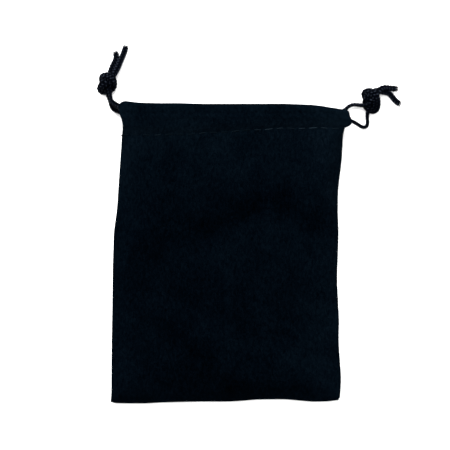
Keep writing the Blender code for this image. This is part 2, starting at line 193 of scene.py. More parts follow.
# The hem: the casing's folded-in layer, which the stitches hold against the face.
INNER_DEPTH = 2.15 * CLOTH  # from the face to the inner layer at the stitches
INNER_CLOSES = (0.55, 1.0)  # the stretch of the inner layer that closes up to the face
HEM_TAIL = 5 * MM
HEM_TAIL_LIFT = 0.25 * MM
CASING_END_SETBACK = 5.4 * MM  # the folded-in layer stops short of the casing's ends
BACK_RIGHT_SETBACK = 0.3 * CASING_END_SETBACK

PANEL_ROWS = 150
CASING_ROWS = 24
FOLD_ROWS = 10
INNER_ROWS = 12
TAIL_ROWS = 4
HALF_COLUMNS = 66
ROW_CROWDING = 1.25  # rows lie closer together near the bottom seam
COLUMN_CROWDING = 1.35  # columns lie closer together near the sides, where the cloth turns over
PATTERN_SIZE = 100 * MM  # of the cloth's pattern, for one unit of its coordinates
SHARP_ANGLE = 1.1  # an edge of the cloth that turns by more, in radians, stays crisp

# ---------------------------------------------------------------- curves and shapes


def smooth(t):
    t = min(max(t, 0.0), 1.0)
    return t * t * (3 - 2 * t)


def eased(value, start, end):
    """0 up to start and 1 from end on, with a smooth change between them."""
    return smooth((value - start) / (end - start))


def mixed(a, b, share):
    return a + (b - a) * share


def catmull_rom(a, b, c, d, t):
    return 0.5 * (2 * b + (c - a) * t + (2 * a - 5 * b + 4 * c - d) * t**2 + (3 * b - a - 3 * c + d) * t**3)


def value_at(points, key):
    """Read a smooth curve through (key, value) points in millimetres that rise in key, in metres."""
    key = key / MM
    last = len(points) - 1
    i = max(0, min(last - 1, sum(1 for p in points if p[0] <= key) - 1))
    t = (key - points[i][0]) / (points[i + 1][0] - points[i][0])
    t = min(max(t, 0.0), 1.0)
    a, b, c, d = (points[max(0, min(last, i + k))][1] for k in (-1, 0, 1, 2))
    return catmull_rom(a, b, c, d, t) * MM


def left_x(y):
    return value_at(LEFT_EDGE, y) - NAP_STANDS


def right_x(y, back=False):
    return value_at(BACK_RIGHT_EDGE if back else RIGHT_EDGE, y) + NAP_STANDS


def bottom_y(x):
    return value_at(BOTTOM_EDGE, x) - NAP_STANDS


def top_y(x):
    return value_at(TOP_EDGE, x)


def stitch_y(x):
    return STITCH_LEFT_Y + STITCH_RISE * eased(x, *STITCH_RISES)


def waves(x, y, seed):
    """Slow unevenness of cloth that lies unpressed, about -1 to 1."""
    broad = noise.noise(Vector((x / BROAD_WAVE[0], y / BROAD_WAVE[1], seed)))
    fine = noise.noise(Vector((x / FINE_WAVE[0], y / FINE_WAVE[1], seed + 7.3)))
    return 1.1 * broad + 0.45 * fine


# ---------------------------------------------------------------- cloth surfaces


def ridge(y, centre):
    return exp(-(((y - centre) / RIDGE_WIDTH) ** 2))


def front_ridges(x, y):
    """How the casing stands up over the two strands in it, and over the bends where they come out."""
    leaving = UPPER_STRAND_Y + LEFT_BEND_RISE * eased(x, *LEFT_BEND)
    lower = LOWER_STRAND_Y - RIGHT_BEND_DROP * eased(x, *RIGHT_BEND)
    return max(ridge(y, UPPER_STRAND_Y), ridge(y, leaving), ridge(y, lower))


def front_outer_z(x, y):
    """Face of the front cloth, from the seams over the pocket to the casing."""
    shoulder = mixed(SHOULDER, MOUTH_SHOULDER, eased(y, *SHOULDER_NARROWS))
    crown = mixed(CROWN_BOTTOM_Z, CROWN_TOP_Z, eased(y, *CROWN_RISES))
    edge = mixed(SEAM_Z, CROWN_TOP_Z, eased(y, *EDGE_RISES))
    aside = max(min(x - left_x(y), right_x(y) - x), 0.0) / shoulder
    inward = min(aside, max(y - bottom_y(x), 0.0) / SHOULDER, 1.0)
    z = mixed(edge, crown, sin(inward * pi / 2) ** SHOULDER_ROUNDNESS)
    z += WAVE_HEIGHT * waves(x, y, 1.0) * min(1.0, inward * 1.6)
    gap = y - stitch_y(x)
    pucker = 0.75 + 0.25 * cos(2 * pi * x / STITCH_PITCH)
    z -= PUCKER_DEPTH * pucker * exp(-((gap / PUCKER_WIDTH) ** 2))
    if gap > 0:
        full = CASING_FLAT_Z + RIDGE_HEIGHT * front_ridges(x, y)
        full += CASING_WAVE_HEIGHT * waves(x * 2.5, y * 2, 4.0)
        z = mixed(z, full, smooth(gap / CASING_RISE_LENGTH))
    return z


def back_outer_z(x, y):
    """Face of the back cloth, which lies on the ground and turns up at the seams."""
    aside = min(x - left_x(y), right_x(y, True) - x, y - bottom_y(x))
    t = min(max(aside / BACK_ROUND_OFF, 0.0), 1.0)
    lift = SEAM_Z * (1 - (1 - (1 - t) ** 2) ** 0.5) * (1 - eased(y, *BACK_EDGE_FALLS))
    gap = y - stitch_y(x)
    return lift + BACK_PUCKER_DEPTH * exp(-((gap / BACK_PUCKER_WIDTH) ** 2))


def outer_point(u, v, in_casing, back):
    """A point of the face: v from the bottom seam to the stitches, or on from there to the fold."""
    x = mixed(left_x(0.0), right_x(0.0), u)
    for _ in range(4):  # x and y depend on each other, and four rounds settle them
        if in_casing:
            y = mixed(stitch_y(x), top_y(x) - CASING_HEIGHT / 2, v)
        else:
            y = mixed(bottom_y(x), stitch_y(x), v)
        x = mixed(left_x(y), right_x(y, back), u)
    return x, y


def cloth_column(u, back):
    """One line of cloth from the bottom seam up over the top fold and down inside to the hem's edge."""
    outer_z = back_outer_z if back else front_outer_z
    flip = 1 if back else -1
    radius = CASING_HEIGHT / 2
    points = []
    for k in range(PANEL_ROWS):
        x, y = outer_point(u, (k / (PANEL_ROWS - 1)) ** ROW_CROWDING, False, back)
        points.append((x, y, outer_z(x, y)))
    for k in range(1, CASING_ROWS):
        x, y = outer_point(u, k / (CASING_ROWS - 1), True, back)
        points.append((x, y, outer_z(x, y)))
    _, y_top, z_top = points[-1]
    left, right = left_x(y_top), right_x(y_top, back)
    inner_left = left + CASING_END_SETBACK
    inner_right = right - (BACK_RIGHT_SETBACK if back else CASING_END_SETBACK)
    for k in range(1, FOLD_ROWS + 1):
        angle = pi * k / FOLD_ROWS
        into = smooth(k / FOLD_ROWS)
        x = mixed(mixed(left, inner_left, into), mixed(right, inner_right, into), u)
        y = y_top + radius * sin(angle)
        z = z_top + flip * radius * (1 - cos(angle))
        points.append((x, y, z))
    x_in, _, z_in = points[-1]
    y_stitch = stitch_y(x_in)
    z_stitch = outer_z(x_in, y_stitch) + flip * INNER_DEPTH
    for k in range(1, INNER_ROWS + 1):
        t = k / INNER_ROWS
        points.append((x_in, mixed(y_top, y_stitch, t), mixed(z_in, z_stitch, eased(t, *INNER_CLOSES))))
    for k in range(1, TAIL_ROWS + 1):
        t = k / TAIL_ROWS
        y = y_stitch - HEM_TAIL * t
        points.append((x_in, y, outer_z(x_in, y) + flip * (INNER_DEPTH + HEM_TAIL_LIFT * t**2)))
    return points


def normals_of(grid):
    across = np.gradient(grid, axis=1)
    along = np.gradient(grid, axis=0)
    normal = np.cross(across, along)
    length = np.linalg.norm(normal, axis=2, keepdims=True)
    return normal / np.maximum(length, 1e-12)


def two_layer_faces(rows, columns):
    """Faces of a sheet whose two layers are grids of vertices, one after the other, joined at their rim."""

    def at(row, column, layer):
        return (layer * rows + row) * columns + column

    faces = []
    for r in range(rows - 1):
        for c in range(columns - 1):
            faces.append((at(r, c, 0), at(r, c + 1, 0), at(r + 1, c + 1, 0), at(r + 1, c, 0)))
            faces.append((at(r, c, 1), at(r + 1, c, 1), at(r + 1, c + 1, 1), at(r, c + 1, 1)))
    rim = [(0, c) for c in range(columns)] + [(r, columns - 1) for r in range(1, rows)]
    rim += [(rows - 1, c) for c in range(columns - 2, -1, -1)] + [(r, 0) for r in range(rows - 2, 0, -1)]
    for (r0, c0), (r1, c1) in zip(rim, rim[1:] + rim[:1]):
        faces.append((at(r0, c0, 0), at(r0, c0, 1), at(r1, c1, 1), at(r1, c1, 0)))
    return faces


def painted_object(name, verts, faces, pattern, places, tone, tones, look):
    """An object whose vertices carry their place in the look's pattern, and a tone for it."""
    mesh = bpy.data.meshes.new(name)
    mesh.from_pydata([tuple(v) for v in verts], [], faces)
    mesh.update()
    loops = np.empty(len(mesh.loops), dtype=np.int32)
    mesh.loops.foreach_get("vertex_index", loops)
    layer = mesh.uv_layers.new(name=pattern)
    layer.data.foreach_set("uv", np.array(places)[loops].ravel())
    attribute = mesh.attributes.new(tone, "FLOAT", "POINT")
    attribute.data.foreach_set("value", tones)
    mesh.shade_smooth()
    mesh.materials.append(look)
    item = bpy.data.objects.new(name, mesh)
    bpy.context.scene.collection.objects.link(item)
    return item


def cloth_object(name, verts, faces, flat, tones):
    item = painted_object(name, verts, faces, "cloth", flat, "nap", tones, CLOTH_MATERIAL)
    item.data.set_sharp_from_angle(angle=SHARP_ANGLE)
    return item


# ---------------------------------------------------------------- nap and cloth pieces

# Start and end in millimetres, half width, and how much darker (-) or lighter (+).
NAP_STROKES = [
    ((-42, -10), (-36, 4), 8.0, -0.20),
    ((-30, 4), (-12, 12), 7.0, -0.22),
    ((-12, 12), (6, 19), 6.0, -0.26),
    ((6, 19), (24, 24), 6.5, -0.26),
    ((24, 24), (36, 15), 7.0, -0.20),
    ((36, 15), (46, 8), 5.5, -0.20),
    ((-12, 24), (6, 27), 6.0, -0.06),
    ((-36, -24), (-27, -35), 5.5, -0.16),
    ((-27, -35), (-15, -46), 6.0, -0.24),
    ((-15, -46), (0, -60), 6.0, -0.26),
    ((0, -61), (32, -62), 4.2, -0.34),
    ((-24, -56), (-10, -62), 7.0, -0.14),
    ((-20, -20), (6, -26), 9.0, -0.06),
    ((-1, 1), (14, 6), 8.0, 0.14),
    ((22, -2), (30, -10), 9.0, 0.14),
    ((24, -46), (40, -50), 8.0, 0.18),
    ((-47, -44), (-44, -58), 6.0, 0.12),
    ((-38, 38), (-20, 52), 9.0, 0.06),
    ((12, 32), (30, 44), 8.0, 0.04),
]

# How much lighter the nap is past a slow change, and between which places in millimetres.
MOUTH_NAP = (0.30, (12, 62))
RIGHT_NAP = (0.42, (26, 50))
LEFT_NAP = (0.30, (-38, -49))
LEFT_NAP_KEPT = 0.35  # the share of it that is left towards the bottom
LEFT_NAP_GROWS = (-10, 35)
STITCH_PAINTED_LIGHT = 0.34  # painted light just above the stitches, which evens out the shade of the casing's rise
NAP_LEVEL = -0.04

GATHER_END = {"left": (-0.0367, 0.0872, 0.0), "right": (0.0367, 0.0872, 0.0)}


def nap_at(x, y):
    """Where the nap has been brushed the other way: darker strokes and lighter patches."""
    x, y = x / MM, y / MM
    broad = noise.noise(Vector((x / 8, y / 8, 3.0)))
    fine = noise.noise(Vector((x / 3, y / 3, 5.0)))
    wobble = 1 + 0.5 * broad + 0.35 * fine
    tone = 0.0
    for (x0, y0), (x1, y1), width, amount in NAP_STROKES:
        dx, dy = x1 - x0, y1 - y0
        t = ((x - x0) * dx + (y - y0) * dy) / (dx * dx + dy * dy)
        t = min(max(t, 0.0), 1.0)
        away = ((x - x0 - t * dx) ** 2 + (y - y0 - t * dy) ** 2) ** 0.5
        tone += amount * exp(-((away / (width * wobble)) ** 2))
    return tone


def nap_tone_with_painted_light(x, y):
    """Brushed strokes over slow changes: lighter towards the mouth and along both sides, with painted light
    just above the stitches that evens out the shade there.
    """
    u, v = x / MM, y / MM
    above = (y - stitch_y(x)) / MM
    tone = NAP_LEVEL + nap_at(x, y)
    # Painted light above the stitches, against the shade where the casing rises.
    tone += STITCH_PAINTED_LIGHT * exp(-((above - 1.7) ** 2) / 1.9)
    for (amount, places), at in ((MOUTH_NAP, v), (RIGHT_NAP, u)):
        tone += amount * eased(at, *places)
    amount, places = LEFT_NAP
    return tone + amount * eased(u, *places) * mixed(LEFT_NAP_KEPT, 1.0, eased(v, *LEFT_NAP_GROWS))


def cloth_half(name, side, back):
    """Half of one cloth, left or right of the middle, as a sheet with its real thickness."""
    places = [0.5 * (k / HALF_COLUMNS) ** COLUMN_CROWDING for k in range(HALF_COLUMNS + 1)]
    if side == "right":
        places = [1 - p for p in places[::-1]]
    face = np.array([cloth_column(u, back) for u in places]).transpose(1, 0, 2)
    lining = face + normals_of(face) * (CLOTH if back else -CLOTH)
    rows, columns = face.shape[:2]
    faces = two_layer_faces(rows, columns)
    if back:
        faces = [corners[::-1] for corners in faces]
    steps = np.linalg.norm(np.diff(face[:, columns // 2], axis=0), axis=1)
    flat = np.zeros((rows, columns, 2))
    flat[:, :, 0] = np.array(places) * (right_x(0.0) - left_x(0.0))
    flat[1:, :, 1] = np.cumsum(steps)[:, None]
    tones = [nap_tone_with_painted_light(x, y) for x, y, _ in face.reshape(-1, 3)]
    verts = np.concatenate([face, lining]).reshape(-1, 3).tolist()
    flat = np.concatenate([flat, flat]).reshape(-1, 2) / PATTERN_SIZE
    item = cloth_object(name, verts, faces, flat, tones + tones)
    gather(item)
    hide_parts(*(("back_panel", "back_casing") if back else ("front_panel", "front_casing")))


def gather(item):
    """Bake the piece's place into its mesh. The mouth's left end would be drawn in by the right drawstring
    and its right end by the left one, but nothing draws it in here.
    """
    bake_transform(item)


def sew_on(item, place):
    """A piece on the left or right half of the cloth is baked in place, as that half is. Any other rides on
    the bag.
    """
    if place in GATHER_END:
        gather(item)
    else:
        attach(item, place)


# ---------------------------------------------------------------- materials


def material(name):
    result = bpy.data.materials.new(name)
    result.use_nodes = True
    return result, result.node_tree.nodes, result.node_tree.links


def node(nodes, kind, **values):
    made = nodes.new(kind)
    for key, value in values.items():
        setattr(made, key, value)
    return made


def ramp(nodes, stops):
    made = nodes.new("ShaderNodeValToRGB")
    elements = made.color_ramp.elements
    while len(elements) < len(stops):
        elements.new(0.5)
    for element, (position, colour) in zip(elements, stops):
        element.position = position
        element.color = (*colour, 1.0)
    return made


def noise_texture(nodes, links, coordinates, scale, detail, roughness, distortion=0.0):
    made = node(nodes, "ShaderNodeTexNoise")
    made.inputs["Scale"].default_value = scale
    made.inputs["Detail"].default_value = detail
    made.inputs["Roughness"].default_value = roughness
    made.inputs["Distortion"].default_value = distortion
    links.new(coordinates, made.inputs["Vector"])
    return made.outputs["Fac"]


def weighted(nodes, links, value, weight, add):
    """value * weight + add, where add is a number or another node's output."""
    made = node(nodes, "ShaderNodeMath", operation="MULTIPLY_ADD")
    links.new(value, made.inputs[0])
    made.inputs[1].default_value = weight
    if isinstance(add, float):
        made.inputs[2].default_value = add
    else:
        links.new(add, made.inputs[2])
    return made.outputs["Value"]


def relief(nodes, links, shader, height, strength, distance):
    """Small bumps on the shader's surface."""
    bump = node(nodes, "ShaderNodeBump")
    bump.inputs["Strength"].default_value = strength
    bump.inputs["Distance"].default_value = distance
    links.new(height, bump.inputs["Height"])
    links.new(bump.outputs["Normal"], shader.inputs["Normal"])


NAP_MIDDLE = -0.95  # brings the mean of the nap's noises to the middle of the shades
CROWN_MIDDLE = -0.95  # does the same for the yarn's crown tone, with its painted highlight and painted shade, and for its streaks
CLOTH_SHADES = [
    (0.00, (0.00002, 0.00010, 0.00025)),
    (0.30, (0.00010, 0.00045, 0.00100)),
    (0.50, (0.00028, 0.00098, 0.00190)),
    (0.70, (0.00060, 0.00165, 0.00295)),
    (1.00, (0.00140, 0.00310, 0.00520)),
]


def cloth_material():
    """Brushed suede-like cloth: short nap that lies in patches, near black with a cool cast."""
    result, nodes, links = material("brushed_cloth")
    shader = nodes["Principled BSDF"]
    coordinates = node(nodes, "ShaderNodeUVMap", uv_map="cloth").outputs["UV"]
    mapping = node(nodes, "ShaderNodeMapping")
    mapping.inputs["Rotation"].default_value = (0.0, 0.0, 0.5)
    mapping.inputs["Scale"].default_value = (1.0, 0.5, 1.0)
    links.new(coordinates, mapping.inputs["Vector"])
    combed = mapping.outputs["Vector"]
    patches = noise_texture(nodes, links, coordinates, scale=7.0, detail=8.0, roughness=0.66, distortion=0.6)
    tufts = noise_texture(nodes, links, combed, scale=95.0, detail=4.0, roughness=0.72, distortion=0.8)
    fibres = noise_texture(nodes, links, combed, scale=330.0, detail=3.0, roughness=0.7)
    # The nap's tone, with painted light just above the stitches.
    brushed = node(nodes, "ShaderNodeAttribute", attribute_name="nap").outputs["Fac"]
    tone = weighted(nodes, links, brushed, weight=0.42, add=NAP_MIDDLE)
    tone = weighted(nodes, links, patches, weight=0.65, add=tone)
    tone = weighted(nodes, links, tufts, weight=1.25, add=tone)
    tone = weighted(nodes, links, fibres, weight=0.90, add=tone)
    shade = ramp(nodes, CLOTH_SHADES)
    links.new(tone, shade.inputs["Fac"])
    links.new(shade.outputs["Color"], shader.inputs["Base Color"])
    height = weighted(nodes, links, tufts, weight=0.7, add=fibres)
    relief(nodes, links, shader, height, strength=0.6, distance=0.3 * MM)
    shader.inputs["Roughness"].default_value = 0.95
    shader.inputs["Specular IOR Level"].default_value = 0.0
    shader.inputs["Sheen Weight"].default_value = 0.0015
    shader.inputs["Sheen Roughness"].default_value = 0.5
    shader.inputs["Sheen Tint"].default_value = (0.35, 0.65, 1.0, 1.0)
    return result


def yarn_material(name, dark, light, scale):
    """Fine yarn: painted shade makes it dark between the crossings and a painted highlight makes it paler on
    the crowns; it is faintly shiny, with fibre streaks.
    """
    result, nodes, links = material(name)
    shader = nodes["Principled BSDF"]
    coordinates = node(nodes, "ShaderNodeUVMap", uv_map="yarn").outputs["UV"]
    streaks = noise_texture(nodes, links, coordinates, scale, detail=4.0, roughness=0.65)
    # The crown tone: on the cord, a painted highlight on the crowns and painted shade between the crossings
    # and in the knots; on the thread, each stitch's tone.
    crown = node(nodes, "ShaderNodeAttribute", attribute_name="crown").outputs["Fac"]
    tone = weighted(nodes, links, crown, weight=1.7, add=CROWN_MIDDLE)
    tone = weighted(nodes, links, streaks, weight=0.9, add=tone)
    middle = [mixed(a, b, 0.045) for a, b in zip(dark, light)]
    shade = ramp(nodes, [(0.40, dark), (0.72, middle), (1.00, light)])
    links.new(tone, shade.inputs["Fac"])
    links.new(shade.outputs["Color"], shader.inputs["Base Color"])
    relief(nodes, links, shader, streaks, strength=0.5, distance=0.08 * MM)
    shader.inputs["Roughness"].default_value = 0.5
    shader.inputs["Specular IOR Level"].default_value = 0.004
    return result


# ---------------------------------------------------------------- cords

# Both strands of a drawstring leave its casing, pass through one overhand knot and end free.
# Each list is in millimetres and runs from the bag towards the tails.
LEFT_FRONT_NECK = [
    (-46.5, 63.1, 9.6),
    (-48.2, 63.8, 9.2),
    (-49.4, 64.5, 8.0),
    (-50.7, 65.2, 6.2),
    (-52.1, 66.3, 4.6),
    (-53.0, 67.6, 3.6),
    (-53.4, 68.8, 3.3),
]
LEFT_BACK_NECK = [
    (-46.5, 60.6, 1.8),
    (-48.6, 62.1, 1.7),
    (-50.1, 62.7, 1.5),
    (-51.4, 63.2, 1.2),
    (-52.4, 64.5, 1.0),
    (-53.1, 66.2, 0.95),
    (-53.6, 67.7, 0.95),
]
LEFT_KNOT = [
    (-53.6, 69.9, 3.0),
    (-54.6, 72.6, 2.4),
    (-56.0, 74.8, 1.4),
    (-57.3, 76.4, 1.8),
    (-56.9, 78.0, 3.4),
    (-54.8, 78.5, 4.8),
    (-52.7, 77.6, 4.6),
    (-51.8, 75.5, 3.6),
    (-51.9, 73.1, 2.0),
    (-53.6, 71.5, 1.0),
    (-56.1, 71.4, 1.0),
    (-57.9, 72.1, 2.0),
    (-57.4, 73.6, 3.8),
    (-55.7, 74.8, 5.4),
    (-53.9, 76.1, 4.8),
    (-52.8, 77.8, 2.2),
    (-52.1, 79.4, 1.4),
]
LEFT_TAIL_SHORT = [
    (-53.0, 80.7, 1.3),
    (-52.6, 82.0, 1.2),
    (-51.3, 84.3, 0.95),
    (-50.5, 86.6, 0.95),
    (-50.9, 88.6, 0.95),
]
LEFT_TAIL_LONG = [
    (-50.3, 80.7, 2.2),
    (-49.5, 82.7, 1.6),
    (-48.9, 84.5, 1.2),
    (-48.1, 86.3, 0.95),
    (-47.4, 88.1, 0.95),
    (-46.7, 90.2, 0.95),
    (-46.4, 91.2, 0.95),
]

RIGHT_BACK_NECK = [
    (47.5, 62.1, 1.8),
    (49.8, 62.4, 1.8),
    (51.6, 63.5, 1.8),
    (53.0, 64.8, 1.7),
    (54.5, 65.4, 1.5),
    (56.5, 65.4, 1.3),
    (58.5, 65.2, 1.3),
]
RIGHT_FRONT_NECK = [
    (47.0, 59.6, 9.7),
    (49.5, 59.1, 9.6),
    (51.5, 58.8, 9.0),
    (53.3, 58.1, 7.6),
    (55.2, 57.4, 5.0),
    (57.1, 56.4, 2.6),
    (58.9, 55.4, 1.3),
    (60.3, 55.3, 0.95),
    (61.3, 56.6, 0.95),
    (61.1, 58.9, 0.95),
    (61.0, 61.1, 1.2),
]
RIGHT_KNOT = [
    (61.6, 63.9, 2.2),
    (62.3, 66.0, 2.3),
    (62.2, 67.8, 1.5),
    (61.0, 68.7, 1.3),
    (58.9, 69.2, 1.8),
    (60.5, 71.0, 3.2),
    (62.4, 71.5, 4.6),
    (64.0, 70.4, 5.0),
    (65.2, 68.1, 4.4),
    (65.5, 65.3, 3.2),
    (65.1, 62.8, 2.2),
    (63.1, 62.3, 1.4),
    (61.6, 63.4, 1.0),
    (60.9, 65.6, 1.4),
    (61.0, 67.7, 3.6),
    (62.1, 69.2, 5.2),
    (63.7, 70.3, 4.2),
    (65.0, 71.5, 2.2),
    (66.4, 72.0, 1.4),
]
RIGHT_TAIL_UPPER = [(66.8, 73.2, 2.0), (69.3, 73.0, 1.5), (71.8, 72.7, 1.1), (74.1, 72.6, 0.95)]
RIGHT_TAIL_LOWER = [
    (67.9, 71.1, 0.95),
    (69.5, 71.1, 0.95),
    (71.0, 70.4, 0.95),
    (72.6, 68.5, 0.95),
    (73.8, 67.1, 0.95),
    (75.4, 65.9, 0.95),
]

# A knot's strands are laid beside its path, joined to their necks and tails, and drawn tight. These
# sizes are in millimetres too.
STRAND_ASIDE = 0.62
STRAND_LIFT = 0.35
KNOT_STEP = 0.5  # spacing of the points while a knot is drawn tight
GUIDE_EVERY = 4  # of these points, one in four guides a strand into the knot
STRAND_APART = 1.72  # how near two strands can be pressed together
CORD_REST_Z = 0.95
FIRM_ROUNDS = 260
FREE_POINTS = 7  # points of one strand nearer to each other than this don't push
PUSH_SHARE = 0.25
PUSH_LIMIT = 0.25
STRAIGHTENING = 0.22
HOLD_HOME = 0.02

COARSE_STEP = 0.4
FINE_STEP = 0.16
FINE_EVERY = 6  # inside the casings, one fine point in six is kept
RELAX_ROUNDS = 6
CASING_STEPS = 40
TURN_STEPS = 16
TURN_REACH = 4.0

BRAID_PITCH = 1.35 * MM
BRAID_YARNS = 2
BRAID_SIDES = 24
BRAID_DEPTH = 0.26 * MM
BRAID_RADIUS = 0.96 * MM
YARN_OVER, YARN_SWING = 0.53, 0.47  # height of a yarn, and what passing over or under changes
PATTERN_LENGTH = 10 * MM  # along the cord, for one unit of the yarn's pattern
TAIL_LENGTH = 9 * MM
TAIL_WIDENING = 0.55  # a slack braid spreads near its cut end
TAIL_FLATTENING = 0.12

FRAY_YARNS = 14
FRAY_RADIUS = 0.12 * MM
FRAY_SIDES = 5
FRAY_CROWN = 0.7
FRAY_ROOT = 0.3 * MM  # how far inside the cut end the loose yarns start
FRAY_RING = 0.68 * MM  # and how far from the cord's middle
FRAY_INWARD = 6  # the cord's direction at a cut end is taken over this many points

# Where else a braid is slack: middle, reach in metres and widening.
SLACK_PLACES = [
    ((-50.6 * MM, 64.0 * MM), 3.2 * MM, 0.34),
    ((-54.6 * MM, 75.2 * MM), 5.0 * MM, 0.14),
    ((62.9 * MM, 67.4 * MM), 6.0 * MM, 0.14),
]

# Painted shade on the yarn: where it is darker, most of all in the knots' shadowed lower halves: middle,
# reach in metres and how much.
PAINTED_SHADE_PLACES = [
    ((-54.0 * MM, 73.4 * MM), 3.0 * MM, 0.14),
    ((-50.6 * MM, 64.6 * MM), 2.6 * MM, 0.14),
    ((72.0 * MM, 71.5 * MM), 5.0 * MM, 0.07),
    ((63.4 * MM, 64.4 * MM), 3.4 * MM, 0.14),
]


def even_curve(points, step):
    """Evenly spaced points on a smooth curve through the given ones."""
    route = np.array(points, dtype=float)
    last = len(route) - 1
    dense = []
    for i in range(last):
        a, b, c, d = (route[max(0, min(last, i + k))] for k in (-1, 0, 1, 2))
        dense += [catmull_rom(a, b, c, d, t) for t in np.arange(0.0, 1.0, 0.05)]
    dense = np.array(dense + [route[last]])
    travelled = np.concatenate([[0.0], np.cumsum(np.linalg.norm(np.diff(dense, axis=0), axis=1))])
    places = np.linspace(0.0, travelled[-1], max(2, round(travelled[-1] / step)) + 1)
    return np.stack([np.interp(places, travelled, dense[:, axis]) for axis in range(3)], axis=1)


def relaxed(line, rounds):
    """The line with its small kinks smoothed out and its ends kept."""
    line = line.copy()
    for _ in range(rounds):
        line[1:-1] = (line[:-2] + 2 * line[1:-1] + line[2:]) / 4
    return line


def side_by_side(path):
    """Two strands that follow one path next to each other."""
    line = even_curve(path, KNOT_STEP)
    ahead = np.gradient(line, axis=0)
    ahead[:, 2] = 0.0
    ahead /= np.linalg.norm(ahead, axis=1, keepdims=True)
    beside = np.stack([ahead[:, 1], -ahead[:, 0], np.zeros(len(line))], axis=1)
    shift = relaxed(beside, RELAX_ROUNDS) * STRAND_ASIDE + np.array([0.0, 0.0, STRAND_LIFT])
    return line + shift, line - shift


def thread_through(neck, knot, tail):
    """One strand from the bag through the knot to its tail, and how many points at each end hold still."""
    neck, tail = even_curve(neck, KNOT_STEP), even_curve(tail, KNOT_STEP)
    every = GUIDE_EVERY
    inner = [knot[every : every + 1], knot[2 * every : -2 * every : every], knot[-every : 1 - every]]
    guide = np.concatenate([neck[::every], *inner, tail[1::every], tail[-1:]])
    return even_curve(guide, KNOT_STEP), len(neck) - every, len(tail) - 1 - every


def pull_tight(strands):
    """Draw a knot tight: strands smooth out and press against each other without passing through."""
    lines, starts, ends = zip(*strands)
    sizes = [len(line) for line in lines]
    owner = np.repeat(np.arange(len(lines)), sizes)
    index = np.concatenate([np.arange(size) for size in sizes])
    from_end = np.repeat(sizes, sizes) - index
    still = (index < np.repeat(starts, sizes)) | (from_end <= np.repeat(ends, sizes))
    middle = np.nonzero((index > 0) & (from_end > 1))[0]
    neighbours = (owner[:, None] == owner[None]) & (abs(index[:, None] - index[None]) < FREE_POINTS)
    place = np.concatenate(lines)
    home = place.copy()
    for _ in range(FIRM_ROUNDS):
        apart = place[:, None] - place[None]
        distance = np.linalg.norm(apart, axis=2) + 1e-9
        overlap = np.where(neighbours, 0.0, np.maximum(STRAND_APART - distance, 0.0))
        push = (apart / distance[..., None] * overlap[..., None] * PUSH_SHARE).sum(axis=1)
        push = np.clip(push, -PUSH_LIMIT, PUSH_LIMIT)
        push[middle] += (place[middle - 1] + place[middle + 1] - 2 * place[middle]) * STRAIGHTENING
        moved = place + push + (home - place) * HOLD_HOME
        place = np.where(still[:, None], place, moved)
        place[:, 2] = np.maximum(place[:, 2], CORD_REST_Z)
    return np.split(place, np.cumsum(sizes)[:-1])


def turn_back(turn_x, direction, start_y, end_y, shift_end):
    """The bend outside a casing's far end, from the front casing round to the back one."""
    middle = (FRONT_STRAND_Z + BACK_STRAND_Z) / 2 / MM
    rise = (FRONT_STRAND_Z - BACK_STRAND_Z) / 2 / MM
    points = []
    for k in range(TURN_STEPS + 1):
        angle = pi * k / TURN_STEPS
        y = mixed(start_y, end_y, smooth(angle / shift_end)) / MM
        points.append((turn_x + direction * TURN_REACH * sin(angle), y, middle + rise * cos(angle)))
    return points


def straight(x_start, x_end, y, z):
    return [(mixed(x_start, x_end, k / CASING_STEPS), y / MM, z / MM) for k in range(CASING_STEPS + 1)]


def cord_path(points, fine_where):
    """The cord's centre line in metres, with points close together where fine_where says so."""
    line = relaxed(even_curve(points, COARSE_STEP), RELAX_ROUNDS)
    line = relaxed(even_curve(line, FINE_STEP), RELAX_ROUNDS) * MM
    kept = [i for i, p in enumerate(line) if fine_where(p[0]) or i % FINE_EVERY == 0 or i == len(line) - 1]
    return [Vector(line[i]) for i in kept]


def frames_along(path):
    """A side and an up vector at each point, carried along the path without twist."""
    tangents = []
    for i in range(len(path)):
        tangents.append((path[min(i + 1, len(path) - 1)] - path[max(i - 1, 0)]).normalized())
    side = tangents[0].orthogonal().normalized()
    result = []
    for tangent in tangents:
        side = (side - tangent * side.dot(tangent)).normalized()
        result.append((side, tangent.cross(side)))
    return result


def braid_height(angle, travelled):
    """Height of the braid's yarns, which wind both ways and pass over and under each other in columns."""
    turn = BRAID_YARNS * angle / (2 * pi)
    p = turn + travelled / BRAID_PITCH
    q = turn - travelled / BRAID_PITCH
    over = YARN_SWING * cos(pi * (p + q))
    first = (0.5 + 0.5 * cos(2 * pi * p)) * (YARN_OVER + over)
    second = (0.5 + 0.5 * cos(2 * pi * q)) * (YARN_OVER - over)
    return max(first, second)


def slackness(centre, to_end):
    """How much wider and flatter the braid is, near a cut end and where it is slack."""
    near_end = smooth(2.2 - to_end / TAIL_LENGTH)
    wider = 1 + TAIL_WIDENING * near_end
    for (x, y), reach, more in SLACK_PLACES:
        away = ((centre.x - x) ** 2 + (centre.y - y) ** 2) ** 0.5
        wider += more * smooth(1.5 - away / reach)
    return wider, 1 - TAIL_FLATTENING * near_end


# How much painted shade darkens the yarn at a place.
def painted_shade(centre):
    total = 0.0
    for (x, y), reach, amount in PAINTED_SHADE_PLACES:
        total += amount * exp(-((centre.x - x) ** 2 + (centre.y - y) ** 2) / reach**2)
    return total


